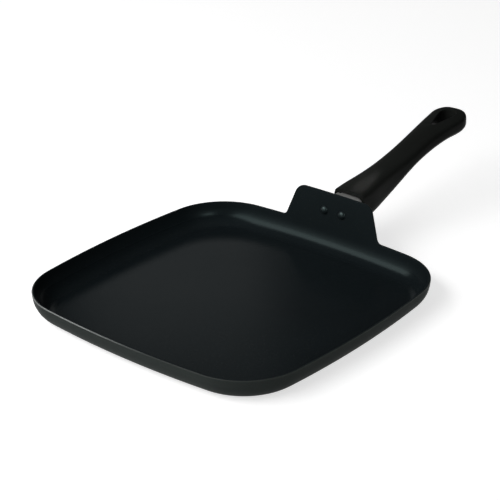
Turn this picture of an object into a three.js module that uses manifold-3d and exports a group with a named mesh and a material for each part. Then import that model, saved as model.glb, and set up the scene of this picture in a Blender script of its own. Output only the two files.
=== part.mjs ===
// Square griddle pan: a pressed, coated sheet pan with a lug on its back wall, a riveted steel bracket
// and a moulded grip held by one screw. Millimetres, +Z up, grip along +Y, origin under the middle
// of the base.
import * as THREE from "three";
import { mergeVertices } from "three/addons/utils/BufferGeometryUtils.js";
import Module from "manifold-3d";

const wasm = await Module();
wasm.setup();

// Pan
const PAN_WIDTH = 279.4;
const RIM_HEIGHT = 21.5;
const CORNER_RADIUS = 57.5;
const SIDE_RADIUS = 864;
const SHEET = 2;
const BASE_BEND = 19;
const WALL_LEAN = 7;

// Lug, measured up the slope of the back wall from the rim
const LUG_RISE = 32;
const LUG_FOOT_WIDTH = 103.4;
const LUG_TOP_WIDTH = 81;
const LUG_TOP_RADIUS = 10;
const LUG_FOOT_RADIUS = 5;

// Rivets
const RIVET_RISE = 14.3;
const RIVET_SPACING = 19.5;
const RIVET_SHANK = 4.8;
const RIVET_HEAD = 8;
const RIVET_HEAD_HEIGHT = 2.2;
const RIVET_TAIL = 7.4;
const RIVET_TAIL_HEIGHT = 1.8;

// Bracket
const PLATE = 2;
const FOOT_WIDTH = 42;
const FOOT_START = 5.5;
const FOOT_HEIGHT = 17;
const FOOT_CORNER = 4;
const NECK_WIDTH = 29;
const NECK_DEPTH = 10;
const NECK_RELIEF = 5;
const NECK_RISE = 23.4;
const NECK_PITCH = 5;
const TONGUE_WIDTH = 22;
const TONGUE_DEPTH = 8.5;
const TONGUE_LENGTH = 40;
const BEND_RADIUS = 1.5;

// Grip
const GRIP_OFFSET = 23.8;
const GRIP_LENGTH = 175.3;
const GRIP_CROWN = 1.3;
const GRIP_BELLY = 1.6;
const SHOULDER_RADIUS = 3.6;
const BASE_RADIUS = 7;
const END_ROUND = 18.2;
const END_EDGE = 5;
const FRONT_SHARE = 0.2;

// Hang hole in the grip: pointed towards the pan, round towards the end
const HOLE_END_MARGIN = 17;
const HOLE_RADIUS = 8.5;
const HOLE_LENGTH = 24;
const HOLE_TIP_RADIUS = 2;

// Screw, lock washer and weld nut
const SCREW_REACH = 27;
const SCREW_SHANK = 4.8;
const SCREW_HEAD = 9.2;
const SCREW_HEAD_HEIGHT = 3;
const SCREW_CROWN = 0.9;
const SCREW_SEAT = 5.5;
const WASHER_DIAMETER = 8.6;
const WASHER_THICKNESS = 1.2;
const WASHER_SLIT = 0.9;
const NUT_SIDE = 8.4;
const NUT_HEIGHT = 4;
const CROSS_LENGTH = 4.8;
const CROSS_WIDTH = 1.1;
const CROSS_DEPTH = 1.5;

// Fits
const CLEARANCE = 0.3;

const rad = THREE.MathUtils.degToRad;
const lean = rad(WALL_LEAN);
const pitch = rad(NECK_PITCH);
const half = PAN_WIDTH / 2;

// Grip stations: share of the length, half width at the shoulder, half width at the base,
// height of the shoulder and of the base above the rim.
const GRIP_STATIONS = [
  [0, 15.8, 19.6, 26.2, 1.2],
  [0.083, 15.5, 20, 28.1, 4.4],
  [0.187, 13.7, 18.2, 30.8, 8.9],
  [0.312, 12.3, 16.2, 34.4, 15.4],
  [0.489, 12.5, 15.6, 40.4, 27.9],
  [0.573, 12.5, 15.1, 44.6, 31.5],
  [0.666, 13.5, 15.4, 48.4, 35.7],
  [0.781, 15.8, 16.9, 52.2, 39.3],
  [0.885, 18.2, 18.6, 55, 40.6],
  [0.953, 19.6, 19.8, 56.9, 41.7],
  [1, 20.2, 20.5, 58.3, 41.5],
];

function signedVolume(geometry) {
  const p = geometry.attributes.position;
  const a = new THREE.Vector3();
  const b = new THREE.Vector3();
  const c = new THREE.Vector3();
  let sum = 0;
  for (let i = 0; i < geometry.index.count; i += 3) {
    a.fromBufferAttribute(p, geometry.index.getX(i));
    b.fromBufferAttribute(p, geometry.index.getX(i + 1));
    c.fromBufferAttribute(p, geometry.index.getX(i + 2));
    sum += a.dot(b.cross(c));
  }
  return sum;
}

function solid(geometry) {
  geometry.deleteAttribute("normal");
  geometry.deleteAttribute("uv");
  const merged = mergeVertices(geometry, 1e-4);
  const index = Array.from(merged.index.array);
  const faces = [];
  const turned = signedVolume(merged) < 0;
  for (let i = 0; i < index.length; i += 3) {
    const [a, b, c] = index.slice(i, i + 3);
    if (a !== b && b !== c && c !== a) faces.push(a, turned ? c : b, turned ? b : c);
  }
  return new wasm.Manifold(new wasm.Mesh({
    numProp: 3,
    vertProperties: new Float32Array(merged.attributes.position.array),
    triVerts: new Uint32Array(faces),
  }));
}

function meshOf(name, body, colour, roughness, metalness) {
  const data = body.getMesh();
  const geometry = new THREE.BufferGeometry();
  geometry.setAttribute("position", new THREE.BufferAttribute(new Float32Array(data.vertProperties), 3));
  geometry.setIndex(new THREE.BufferAttribute(new Uint32Array(data.triVerts), 1));
  geometry.computeVertexNormals();
  const material = new THREE.MeshStandardMaterial({ color: colour, roughness, metalness });
  const mesh = new THREE.Mesh(geometry, material);
  mesh.name = name;
  return mesh;
}

// Skin over a run of rings with the same number of points, closed by a flat cap at each end.
function loft(rings) {
  const count = rings[0].length;
  const positions = [];
  const index = [];
  for (const ring of rings) {
    for (const p of ring) positions.push(p.x, p.y, p.z);
  }
  for (let i = 0; i + 1 < rings.length; i++) {
    for (let j = 0; j < count; j++) {
      const k = (j + 1) % count;
      const low = i * count;
      const high = low + count;
      index.push(low + j, low + k, high + k, low + j, high + k, high + j);
    }
  }
  const caps = [rings[0], rings[rings.length - 1]];
  caps.forEach((ring, end) => {
    const centre = new THREE.Vector3();
    ring.forEach((p) => centre.add(p));
    centre.divideScalar(count);
    const hub = positions.length / 3;
    positions.push(centre.x, centre.y, centre.z);
    const start = end * (rings.length - 1) * count;
    for (let j = 0; j < count; j++) {
      const k = (j + 1) % count;
      if (end) index.push(hub, start + j, start + k);
      else index.push(hub, start + k, start + j);
    }
  });
  const geometry = new THREE.BufferGeometry();
  geometry.setAttribute("position", new THREE.Float32BufferAttribute(positions, 3));
  geometry.setIndex(index);
  return geometry;
}

// Polygon with rounded corners; each corner is [x, y, radius].
function rounded(corners, steps = 6) {
  const points = [];
  const count = corners.length;
  corners.forEach(([x, y, radius], i) => {
    const corner = new THREE.Vector2(x, y);
    if (!radius) {
      points.push(corner);
      return;
    }
    const [bx, by] = corners[(i + count - 1) % count];
    const [ax, ay] = corners[(i + 1) % count];
    const before = new THREE.Vector2(bx, by).sub(corner);
    const after = new THREE.Vector2(ax, ay).sub(corner);
    const reach = Math.min(before.length(), after.length());
    before.normalize();
    after.normalize();
    const opening = Math.acos(THREE.MathUtils.clamp(before.dot(after), -1, 1));
    const cut = Math.min(radius / Math.tan(opening / 2), reach * 0.48);
    const r = cut * Math.tan(opening / 2);
    const middle = before.clone().add(after).normalize();
    const centre = corner.clone().addScaledVector(middle, r / Math.sin(opening / 2));
    const from = corner.clone().addScaledVector(before, cut).sub(centre);
    const to = corner.clone().addScaledVector(after, cut).sub(centre);
    let sweep = to.angle() - from.angle();
    if (sweep > Math.PI) sweep -= 2 * Math.PI;
    if (sweep < -Math.PI) sweep += 2 * Math.PI;
    for (let k = 0; k <= steps; k++) {
      const angle = from.angle() + (sweep * k) / steps;
      points.push(new THREE.Vector2(centre.x + r * Math.cos(angle), centre.y + r * Math.sin(angle)));
    }
  });
  return points;
}

function prism(points, depth, holes = []) {
  const shape = new THREE.Shape(points);
  holes.forEach((hole) => shape.holes.push(new THREE.Path(hole)));
  return new THREE.ExtrudeGeometry(shape, { depth, bevelEnabled: false, curveSegments: 24 });
}

function circle(x, y, radius, steps = 28) {
  return Array.from({ length: steps }, (_, i) => {
    const angle = (2 * Math.PI * i) / steps;
    return new THREE.Vector2(x + radius * Math.cos(angle), y + radius * Math.sin(angle));
  });
}

// Outline of the pan moved inwards by an inset: four bowed sides and four corners, all tangent arcs.
const SIDE_STEPS = 8;
const CORNER_STEPS = 10;
const sideCentre = half - SIDE_RADIUS;
const cornerCentre = (sideCentre
  + Math.sqrt(2 * (SIDE_RADIUS - CORNER_RADIUS) ** 2 - sideCentre ** 2)) / 2;
const sideAngle = Math.atan2(cornerCentre, cornerCentre - sideCentre);

function panRing(inset, z) {
  const points = [];
  for (let quarter = 0; quarter < 4; quarter++) {
    const turn = (quarter * Math.PI) / 2;
    const place = (cx, cy, radius, angle) => {
      const x = cx + (radius - inset) * Math.cos(angle);
      const y = cy + (radius - inset) * Math.sin(angle);
      points.push(new THREE.Vector3(
        x * Math.cos(turn) - y * Math.sin(turn), x * Math.sin(turn) + y * Math.cos(turn), z));
    };
    for (let i = 0; i < SIDE_STEPS; i++) {
      place(sideCentre, 0, SIDE_RADIUS, -sideAngle + (2 * sideAngle * i) / SIDE_STEPS);
    }
    for (let i = 0; i < CORNER_STEPS; i++) {
      const sweep = Math.PI / 2 - 2 * sideAngle;
      place(cornerCentre, cornerCentre, CORNER_RADIUS, sideAngle + (sweep * i) / CORNER_STEPS);
    }
  }
  return points;
}

// Drawn blank: flat base, rolled bend, leaning wall carried up to above the lug.
function drawnBlank() {
  const wallHeight = RIM_HEIGHT - BASE_BEND * (1 - Math.sin(lean));
  const bendInset = wallHeight * Math.tan(lean) + BASE_BEND * Math.cos(lean);
  const rings = [];
  const bendSteps = 6;
  const bend = (radius, step) => {
    const angle = -Math.PI / 2 + ((Math.PI / 2 - lean) * step) / bendSteps;
    rings.push(panRing(bendInset - radius * Math.cos(angle), BASE_BEND + radius * Math.sin(angle)));
  };
  for (let i = 0; i <= bendSteps; i++) bend(BASE_BEND, i);
  const rise = LUG_RISE + LUG_TOP_RADIUS;
  const inset = -rise * Math.sin(lean);
  const top = RIM_HEIGHT + rise * Math.cos(lean);
  rings.push(panRing(inset, top));
  rings.push(panRing(inset + SHEET * Math.cos(lean), top + SHEET * Math.sin(lean)));
  for (let i = bendSteps; i >= 0; i--) bend(BASE_BEND - SHEET, i);
  return solid(loft(rings));
}

// Frame of the lug: x across, y up its slope, z into the pan, origin on the outer face at the rim.
const lugFrame = new THREE.Matrix4().makeBasis(
  new THREE.Vector3(1, 0, 0),
  new THREE.Vector3(0, Math.sin(lean), Math.cos(lean)),
  new THREE.Vector3(0, -Math.cos(lean), Math.sin(lean)),
).setPosition(0, half, RIM_HEIGHT);

function rivetHoles(length, radius) {
  return [-1, 1].map((side) => {
    const tool = prism(circle((side * RIVET_SPACING) / 2, RIVET_RISE, radius), length);
    tool.translate(0, 0, -length / 2);
    return solid(tool.applyMatrix4(lugFrame));
  });
}

function panBody() {
  const rise = LUG_RISE * Math.cos(lean);
  const foot = LUG_FOOT_WIDTH / 2;
  const top = LUG_TOP_WIDTH / 2;
  const skirt = foot + 3 * LUG_FOOT_RADIUS;
  const window = rounded([
    [-skirt, -2, 0],
    [skirt, -2, 0],
    [skirt, 0, 0],
    [foot, 0, LUG_FOOT_RADIUS],
    [top, rise, LUG_TOP_RADIUS],
    [-top, rise, LUG_TOP_RADIUS],
    [-foot, 0, LUG_FOOT_RADIUS],
    [-skirt, 0, 0],
  ], 7);
  const reach = 2 * half;
  const upright = new THREE.Matrix4().makeRotationX(Math.PI / 2).setPosition(0, 1.5 * half, RIM_HEIGHT);
  const lug = solid(prism(window, half).applyMatrix4(upright));
  const trim = new THREE.BoxGeometry(2 * reach, 2 * reach, reach);
  trim.translate(0, 0, RIM_HEIGHT + reach / 2);
  let body = drawnBlank().subtract(solid(trim).subtract(lug));
  for (const hole of rivetHoles(8 * SHEET, RIVET_SHANK / 2 + CLEARANCE)) body = body.subtract(hole);
  return body;
}

function rivet(side) {
  const seat = SHEET + CLEARANCE;
  const back = -(PLATE + 2 * CLEARANCE);
  const profile = [];
  const dome = (radius, height, base, way, order) => {
    for (const i of order) {
      const angle = (Math.PI / 2) * (i / 5);
      profile.push(new THREE.Vector2(radius * Math.sin(angle), base + way * height * Math.cos(angle)));
    }
  };
  dome(RIVET_TAIL / 2, RIVET_TAIL_HEIGHT, back, -1, [0, 1, 2, 3, 4, 5]);
  profile.push(new THREE.Vector2(RIVET_SHANK / 2, back));
  profile.push(new THREE.Vector2(RIVET_SHANK / 2, seat));
  dome(RIVET_HEAD / 2, RIVET_HEAD_HEIGHT, seat, 1, [5, 4, 3, 2, 1, 0]);
  const geometry = new THREE.LatheGeometry(profile, 22);
  geometry.rotateX(Math.PI / 2);
  geometry.translate((side * RIVET_SPACING) / 2, RIVET_RISE, 0);
  return solid(geometry.applyMatrix4(lugFrame));
}

// Frame of the bracket's web: x across, y back along the web, z out of its upper face,
// origin on the upper face at the front of the grip.
const gripFront = half + GRIP_OFFSET;
const webFrame = new THREE.Matrix4().makeRotationX(pitch)
  .setPosition(0, gripFront, RIM_HEIGHT + NECK_RISE);

// Side view of the foot, bend and web, as [y, z] corners in the world, up to a run along the web.
function bracketSide(run) {
  const up = new THREE.Vector2(Math.sin(lean), Math.cos(lean));
  const out = new THREE.Vector2(Math.cos(lean), -Math.sin(lean));
  const along = new THREE.Vector2(Math.cos(pitch), Math.sin(pitch));
  const above = new THREE.Vector2(-Math.sin(pitch), Math.cos(pitch));
  const rim = new THREE.Vector2(half, RIM_HEIGHT);
  const web = new THREE.Vector2(gripFront, RIM_HEIGHT + NECK_RISE);
  const corner = (offset, drop) => {
    const a = rim.clone().addScaledVector(out, offset);
    const b = web.clone().addScaledVector(above, -drop);
    const t = b.clone().sub(a).cross(along) / up.cross(along);
    return a.addScaledVector(up, t);
  };
  const footRise = FOOT_START + FOOT_CORNER;
  const footAt = (offset) => rim.clone().addScaledVector(out, offset).addScaledVector(up, footRise);
  const webAt = (drop) => web.clone().addScaledVector(above, -drop).addScaledVector(along, run);
  const list = [
    [footAt(CLEARANCE), 0],
    [footAt(CLEARANCE + PLATE), 0],
    [corner(CLEARANCE + PLATE, PLATE), BEND_RADIUS],
    [webAt(PLATE), 0],
    [webAt(0), 0],
    [corner(CLEARANCE, 0), BEND_RADIUS + PLATE],
  ];
  return rounded(list.map(([p, radius]) => [p.x, p.y, radius]));
}

// Channel section open downwards, extruded along the web between two places.
function channel(width, depth, from, to) {
  const w = width / 2;
  const section = rounded([
    [-w, 0, BEND_RADIUS + PLATE],
    [-w, -depth, 0],
    [-w + PLATE, -depth, 0],
    [-w + PLATE, -PLATE, BEND_RADIUS],
    [w - PLATE, -PLATE, BEND_RADIUS],
    [w - PLATE, -depth, 0],
    [w, -depth, 0],
    [w, 0, BEND_RADIUS + PLATE],
  ], 4);
  const geometry = prism(section, to - from);
  geometry.rotateX(Math.PI / 2);
  geometry.translate(0, to, 0);
  return solid(geometry.applyMatrix4(webFrame));
}

const webStart = -(GRIP_OFFSET - LUG_RISE * Math.sin(lean) - PLATE);

function handleBracket() {
  const w = FOOT_WIDTH / 2;
  const foot = prism(rounded([
    [-w, FOOT_START, FOOT_CORNER],
    [w, FOOT_START, FOOT_CORNER],
    [w, FOOT_START + FOOT_HEIGHT - PLATE, FOOT_CORNER],
    [-w, FOOT_START + FOOT_HEIGHT - PLATE, FOOT_CORNER],
  ]), PLATE);
  foot.translate(0, 0, -(PLATE + CLEARANCE));
  const relief = webStart + NECK_RELIEF;
  const bend = prism(bracketSide(relief + PLATE), NECK_WIDTH - 2 * PLATE);
  bend.translate(0, 0, PLATE - NECK_WIDTH / 2);
  const sideways = new THREE.Matrix4().makeBasis(
    new THREE.Vector3(0, 1, 0), new THREE.Vector3(0, 0, 1), new THREE.Vector3(1, 0, 0));
  let body = solid(foot.applyMatrix4(lugFrame)).add(solid(bend.applyMatrix4(sideways)));
  body = body.add(channel(NECK_WIDTH, NECK_DEPTH, relief, -CLEARANCE));
  body = body.add(channel(TONGUE_WIDTH, TONGUE_DEPTH, -CLEARANCE - PLATE, TONGUE_LENGTH));
  for (const hole of rivetHoles(8 * PLATE, RIVET_SHANK / 2 + CLEARANCE)) body = body.subtract(hole);
  return body.subtract(screwTool(SCREW_SHANK / 2 + 2 * CLEARANCE, -2 * PLATE, PLATE));
}

// Cylinder on the screw's axis between two heights above the web's upper face.
function screwTool(radius, low, high) {
  const tool = prism(circle(0, 0, radius), high - low);
  tool.translate(0, SCREW_REACH, low);
  return solid(tool.applyMatrix4(webFrame));
}

const pocketFloor = -(TONGUE_DEPTH + CLEARANCE);
const washerFace = pocketFloor - SCREW_SEAT;

function gripSection(share) {
  const rail = (column) => {
    const points = GRIP_STATIONS.map((row) => new THREE.Vector2(row[0], row[column]));
    let i = 0;
    while (i < points.length - 2 && share > points[i + 1].x) i++;
    const slope = (k) => {
      const a = points[Math.max(k - 1, 0)];
      const b = points[Math.min(k + 1, points.length - 1)];
      return (b.y - a.y) / (b.x - a.x);
    };
    const run = points[i + 1].x - points[i].x;
    const t = (share - points[i].x) / run;
    const h00 = 2 * t ** 3 - 3 * t ** 2 + 1;
    const h10 = t ** 3 - 2 * t ** 2 + t;
    const h01 = 3 * t ** 2 - 2 * t ** 3;
    const h11 = t ** 3 - t ** 2;
    return h00 * points[i].y + h10 * run * slope(i) + h01 * points[i + 1].y + h11 * run * slope(i + 1);
  };
  const past = Math.max(0, (share * GRIP_LENGTH - (GRIP_LENGTH - END_ROUND)) / END_ROUND);
  const taper = Math.sqrt(Math.max(1 - past * past, 0.006));
  const shoulder = rail(1) * taper;
  const base = rail(2) * taper;
  const middle = (rail(3) + rail(4)) / 2;
  const edge = Math.max(0, 1 - (GRIP_LENGTH * (1 - share)) / END_EDGE);
  const fall = END_EDGE * (1 - Math.sqrt(Math.max(1 - edge * edge, 0)));
  const top = rail(3) - fall;
  const bottom = rail(4) + fall;
  const crown = GRIP_CROWN * taper;
  const belly = GRIP_BELLY * taper;
  const corners = [
    [shoulder, top, SHOULDER_RADIUS],
    [base, bottom, BASE_RADIUS],
    [-base, bottom, BASE_RADIUS],
    [-shoulder, top, SHOULDER_RADIUS],
  ];
  const outline = rounded(corners, 5);
  const dressed = outline.map((p) => {
    const u = THREE.MathUtils.clamp(p.x / base, -1, 1);
    const lift = p.y > middle ? crown : -belly;
    const weight = THREE.MathUtils.clamp(Math.abs(p.y - middle) / ((top - bottom) / 2), 0, 1);
    return new THREE.Vector2(p.x, p.y + lift * weight * (1 - u * u));
  });
  const quarter = dressed.length / 4;
  const lowMiddle = new THREE.Vector2(0, bottom - belly);
  const highMiddle = new THREE.Vector2(0, top + crown);
  dressed.splice(2 * quarter, 0, lowMiddle);
  dressed.push(highMiddle);
  const y = gripFront + share * GRIP_LENGTH;
  const square = Math.tan(pitch) * Math.max(0, 1 - share / FRONT_SHARE);
  return dressed.map((p) => new THREE.Vector3(p.x, y - (p.y - NECK_RISE) * square, RIM_HEIGHT + p.y));
}

function gripBody() {
  const rings = [];
  const straight = 20;
  const knee = 1 - END_ROUND / GRIP_LENGTH;
  for (let i = 0; i < straight; i++) rings.push(gripSection((knee * i) / straight));
  const ends = 9;
  for (let i = 0; i <= ends; i++) {
    rings.push(gripSection(knee + (1 - knee) * Math.sin((Math.PI / 2) * (i / ends))));
  }
  let body = solid(loft(rings));

  const w = TONGUE_WIDTH / 2 + CLEARANCE;
  const mouth = TONGUE_LENGTH + CLEARANCE;
  const pocket = prism(rounded([
    [-w, CLEARANCE, 0],
    [-w, pocketFloor, 0],
    [w, pocketFloor, 0],
    [w, CLEARANCE, 0],
  ]), 2 * mouth);
  pocket.rotateX(Math.PI / 2);
  pocket.translate(0, mouth, 0);
  body = body.subtract(solid(pocket.applyMatrix4(webFrame)));

  const bore = SCREW_SHANK / 2 + CLEARANCE;
  body = body.subtract(screwTool(bore, washerFace - 2 * SCREW_SEAT, pocketFloor + CLEARANCE));
  const head = Math.max(SCREW_HEAD, WASHER_DIAMETER) / 2 + 2 * CLEARANCE;
  body = body.subtract(screwTool(head, washerFace - 6 * SCREW_SEAT, washerFace));

  const round = GRIP_LENGTH - HOLE_END_MARGIN;
  const flare = Math.asin((HOLE_RADIUS - HOLE_TIP_RADIUS) / HOLE_LENGTH);
  const drop = [];
  const sweep = (centre, radius, from, to, steps) => {
    for (let i = 0; i <= steps; i++) {
      const angle = from + ((to - from) * i) / steps;
      drop.push(new THREE.Vector2(radius * Math.cos(angle), centre + radius * Math.sin(angle)));
    }
  };
  sweep(round, HOLE_RADIUS, -flare, Math.PI + flare, 18);
  sweep(round - HOLE_LENGTH, HOLE_TIP_RADIUS, Math.PI + flare, 2 * Math.PI - flare, 6);
  const tall = 4 * half;
  const hole = prism(drop, tall);
  hole.translate(0, gripFront, -tall / 2);
  return body.subtract(solid(hole));
}

function handleScrew() {
  const r = SCREW_SHANK / 2;
  const seat = -(WASHER_THICKNESS + CLEARANCE);
  const end = -PLATE - washerFace;
  const rim = seat - SCREW_HEAD_HEIGHT + SCREW_CROWN;
  const profile = [
    new THREE.Vector2(0, seat - SCREW_HEAD_HEIGHT),
    new THREE.Vector2(SCREW_HEAD * 0.3, seat - SCREW_HEAD_HEIGHT + SCREW_CROWN * 0.2),
    new THREE.Vector2(SCREW_HEAD * 0.44, seat - SCREW_HEAD_HEIGHT + SCREW_CROWN * 0.55),
    new THREE.Vector2(SCREW_HEAD / 2, rim),
    new THREE.Vector2(SCREW_HEAD / 2, seat),
    new THREE.Vector2(r, seat),
    new THREE.Vector2(r, end - r * 0.3),
    new THREE.Vector2(r * 0.7, end),
    new THREE.Vector2(0, end),
  ];
  const geometry = new THREE.LatheGeometry(profile, 24);
  geometry.rotateX(Math.PI / 2);
  geometry.translate(0, SCREW_REACH, washerFace);
  let body = solid(geometry.applyMatrix4(webFrame));
  for (const turn of [0, Math.PI / 2]) {
    const slot = new THREE.BoxGeometry(CROSS_LENGTH, CROSS_WIDTH, 2 * CROSS_DEPTH);
    slot.rotateZ(turn + Math.PI / 4);
    slot.translate(0, SCREW_REACH, washerFace + seat - SCREW_HEAD_HEIGHT);
    body = body.subtract(solid(slot.applyMatrix4(webFrame)));
  }
  return body;
}

function lockWasher() {
  const outer = circle(0, 0, WASHER_DIAMETER / 2);
  const inner = circle(0, 0, SCREW_SHANK / 2 + CLEARANCE).reverse();
  const ring = prism(outer, WASHER_THICKNESS - CLEARANCE, [inner]);
  ring.translate(0, SCREW_REACH, washerFace - WASHER_THICKNESS);
  const slit = new THREE.BoxGeometry(WASHER_DIAMETER, WASHER_SLIT, 4 * WASHER_THICKNESS);
  slit.rotateX(Math.PI / 5);
  slit.translate(WASHER_DIAMETER / 2, SCREW_REACH, washerFace - WASHER_THICKNESS / 2);
  return solid(ring.applyMatrix4(webFrame)).subtract(solid(slit.applyMatrix4(webFrame)));
}

function weldNut() {
  const s = NUT_SIDE / 2;
  const inner = circle(0, 0, SCREW_SHANK / 2 + CLEARANCE).reverse();
  const outline = rounded([[-s, -s, 0.8], [s, -s, 0.8], [s, s, 0.8], [-s, s, 0.8]], 2);
  const block = prism(outline, NUT_HEIGHT, [inner]);
  block.translate(0, SCREW_REACH, -(PLATE + CLEARANCE + NUT_HEIGHT));
  return solid(block.applyMatrix4(webFrame));
}

const pan = new THREE.Group();
pan.name = "square_griddle_pan";
pan.add(
  meshOf("pan_body", panBody(), 0x24282a, 0.42, 0.1),
  meshOf("rivet_left", rivet(-1), 0x1c1f21, 0.35, 0.2),
  meshOf("rivet_right", rivet(1), 0x1c1f21, 0.35, 0.2),
  meshOf("handle_bracket", handleBracket(), 0xb4b8b8, 0.38, 0.9),
  meshOf("weld_nut", weldNut(), 0xa6a9a8, 0.42, 0.9),
  meshOf("handle_grip", gripBody(), 0x1b1c1b, 0.28, 0),
  meshOf("lock_washer", lockWasher(), 0xa0a3a3, 0.4, 0.9),
  meshOf("handle_screw", handleScrew(), 0xb0b3b3, 0.35, 0.9),
);

export default pan;
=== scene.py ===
"""Square griddle pan: a coated sheet pan with a lug, a riveted steel bracket and a moulded grip."""
from math import asin, atan2, copysign, cos, hypot, pi, radians, sin, sqrt, tan

import bmesh
import bpy
from bpy.props import FloatProperty, FloatVectorProperty, PointerProperty
from mathutils import Matrix, Vector


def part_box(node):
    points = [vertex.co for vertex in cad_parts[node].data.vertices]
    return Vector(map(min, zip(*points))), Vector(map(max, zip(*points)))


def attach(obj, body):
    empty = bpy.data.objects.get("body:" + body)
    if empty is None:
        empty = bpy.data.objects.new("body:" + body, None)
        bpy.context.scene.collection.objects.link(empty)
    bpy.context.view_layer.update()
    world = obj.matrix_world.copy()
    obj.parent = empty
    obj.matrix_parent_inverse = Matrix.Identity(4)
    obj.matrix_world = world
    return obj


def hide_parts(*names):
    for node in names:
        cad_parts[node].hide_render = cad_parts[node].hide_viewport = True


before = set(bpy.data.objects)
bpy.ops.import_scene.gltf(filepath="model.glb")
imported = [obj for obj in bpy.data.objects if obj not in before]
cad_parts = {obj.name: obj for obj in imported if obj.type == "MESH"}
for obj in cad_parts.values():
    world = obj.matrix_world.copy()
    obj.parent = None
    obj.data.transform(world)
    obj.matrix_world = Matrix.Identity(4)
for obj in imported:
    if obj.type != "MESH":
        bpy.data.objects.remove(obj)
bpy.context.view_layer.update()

bl_info = {
    "name": "Square Griddle Pan",
    "version": (1, 0, 0),
    "blender": (4, 5, 0),
    "location": "3D View > Sidebar > Griddle",
    "description": "Builds a square griddle pan with a riveted bracket and a moulded grip",
    "category": "Add Mesh",
}

MM = 0.001
TOUCH = 0.01 * MM
SHARP = radians(50)
PAN_LOW, PAN_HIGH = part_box("pan_body")

# Steps round the pan's outline
SIDE_STEPS = 40
BESIDE_LUG_STEPS = 12
LUG_STEPS = 96
CORNER_STEPS = 30

# Steps along the bends of the sheets and round the turned parts
BASE_BEND_STEPS = 12
LIP_STEPS = 4
FOOT_BEND_STEPS = 8
FLANGE_BEND_STEPS = 6
DOME_STEPS = 10
TURNED_STEPS = 48

# Coats of the pan's faces, in the order of its materials
INSIDE, OUTSIDE, RIM_EDGE = range(3)

# Heights between which the inside coat grows dull up the wall
DULL_FROM = 7.0 * MM
DULL_TO = 18.0 * MM

# Where the bare stretch of the rim's edge fades in: to the right, to the left and to the back. It is laid
# only along the front left, where the lamp's highlight falls on the lip, so it is partly a bare edge and
# partly a painted highlight.
BARE_GLINT_RIGHT = (0.04, -0.06)
BARE_GLINT_LEFT = (-0.136, -0.108)
BARE_GLINT_BACK = (-0.07, -0.12)

# Grip stations: share of the length, half width at the shoulder, half width at the base,
# height of the shoulder and of the base above the rim, in millimetres.
GRIP_STATIONS = (
    (0.000, 16.4, 19.3, 27.0, 1.8),
    (0.083, 16.0, 19.7, 28.8, 4.8),
    (0.187, 14.2, 18.1, 31.3, 9.1),
    (0.312, 12.8, 16.3, 34.9, 15.2),
    (0.489, 13.0, 15.9, 40.8, 27.4),
    (0.573, 13.0, 15.5, 45.0, 30.8),
    (0.666, 13.9, 15.9, 48.7, 34.8),
    (0.781, 16.1, 17.5, 52.4, 38.2),
    (0.885, 18.3, 19.0, 55.0, 39.7),
    (0.953, 19.6, 19.8, 56.9, 41.7),
    (1.000, 20.2, 20.5, 58.3, 41.5),
)

# Columns of the grip's cage, counted round from the middle of its top
RING = 16
HALF_RING = RING // 2
FLANK = HALF_RING // 2
BASE_EDGE = FLANK + 1

# Rings of the grip's cage behind its front, in millimetres: ahead of the hang hole, along it and past it.
# Two more rings, where the hole starts and stops, come from its sizes.
BODY_RINGS = (0.0, 0.9, 6.5, 13.0, 20.0, 28.2, 36.5, 47.0, 60.0, 75.0, 91.0, 106.0, 117.0, 125.0)
HOLE_RINGS = (134.6, 139.0, 144.0, 149.0, 154.0, 159.0, 163.5)
TAIL_RINGS = (170.8, 173.6, 175.7)

# Rows of rings that hold the screw's recess and the hang hole, and the mark of rings in no row
SCREW_ROWS = range(4, 7)
HOLE_ROWS = range(len(BODY_RINGS), len(BODY_RINGS) + len(HOLE_RINGS) + 2)
NO_ROW = -1

# Distance behind the front past which the rings keep their section, in millimetres
LAST_SECTION = 174.5

# Shape of a section's cage: rise of its crown half way out and at the rounding, distance of a cage point
# from its corner as a share of the rounding's radius, and the most of a half width that it may take.
CROWN_HALF_WAY = 0.8
CROWN_AT_EDGE = 0.15
CORNER_PULL = 0.6
MOST_PULL = 0.4

# Share of the grip's length over which its rings turn from the slope of the bracket to upright
SQUARE_FRONT = 0.2

# Places across and along on the hang hole's round ends, as shares of their radius
HOLE_TIP_PLACE = (0.8, -0.6)
HOLE_END_PLACE = (0.6, 0.8)

# Share of its radius that a ring of eight cage points keeps when it is smoothed
EIGHT_POINT_SHRINK = 0.902

# Lamps of the studio: place, size and aim in metres, beam in degrees
LAMPS = {
    "key": ((-0.743, -1.290, 1.489), (2.65, 0.95), (0.0, 0.0, 0.0), 180),
    "fill": ((-0.848, -1.514, 1.197), (2.65, 1.9), (0.0, 0.0, 0.0), 180),
    "back": ((-0.97, 0.97, 0.66), (0.35, 0.3), (0.0, 0.0, 0.0), 180),
    "high": ((-0.445, 0.785, 0.690), (0.024, 0.024), (0.002, 0.174, 0.044), 2.2),
    "right": ((1.03, -0.31, 0.68), (0.30, 0.25), (-0.12, 0.10, 0.01), 15),
}

# Tone of the surroundings from the horizon to straight overhead
SKY = ((0.00, 0.36), (0.10, 0.26), (0.25, 0.04), (0.70, 0.04), (1.00, 0.28))

FLOOR_HALF_WIDTH = 14.0
FLOOR_GLOW = 0.66
CAMERA_TARGET = Vector((-57.15, 91.46, -0.48)) * MM
SENSOR_WIDTH = 36.0
NEAR_CLIP = 0.05


def length(name, description, millimetres):
    """A length that a user may change."""
    return FloatProperty(name=name, description=description, default=millimetres * MM,
                         min=0.0, precision=5, unit="LENGTH")


def turn(name, description, degrees):
    """An angle that a user may change."""
    return FloatProperty(name=name, description=description, default=radians(degrees), subtype="ANGLE")


def amount(name, description, default):
    """A plain number that a user may change."""
    return FloatProperty(name=name, description=description, default=default, min=0.0, precision=5)


def colour(name, description, default):
    """A colour that a user may change."""
    return FloatVectorProperty(name=name, description=description, default=default, size=3,
                               min=0.0, max=1.0, subtype="COLOR")


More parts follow.
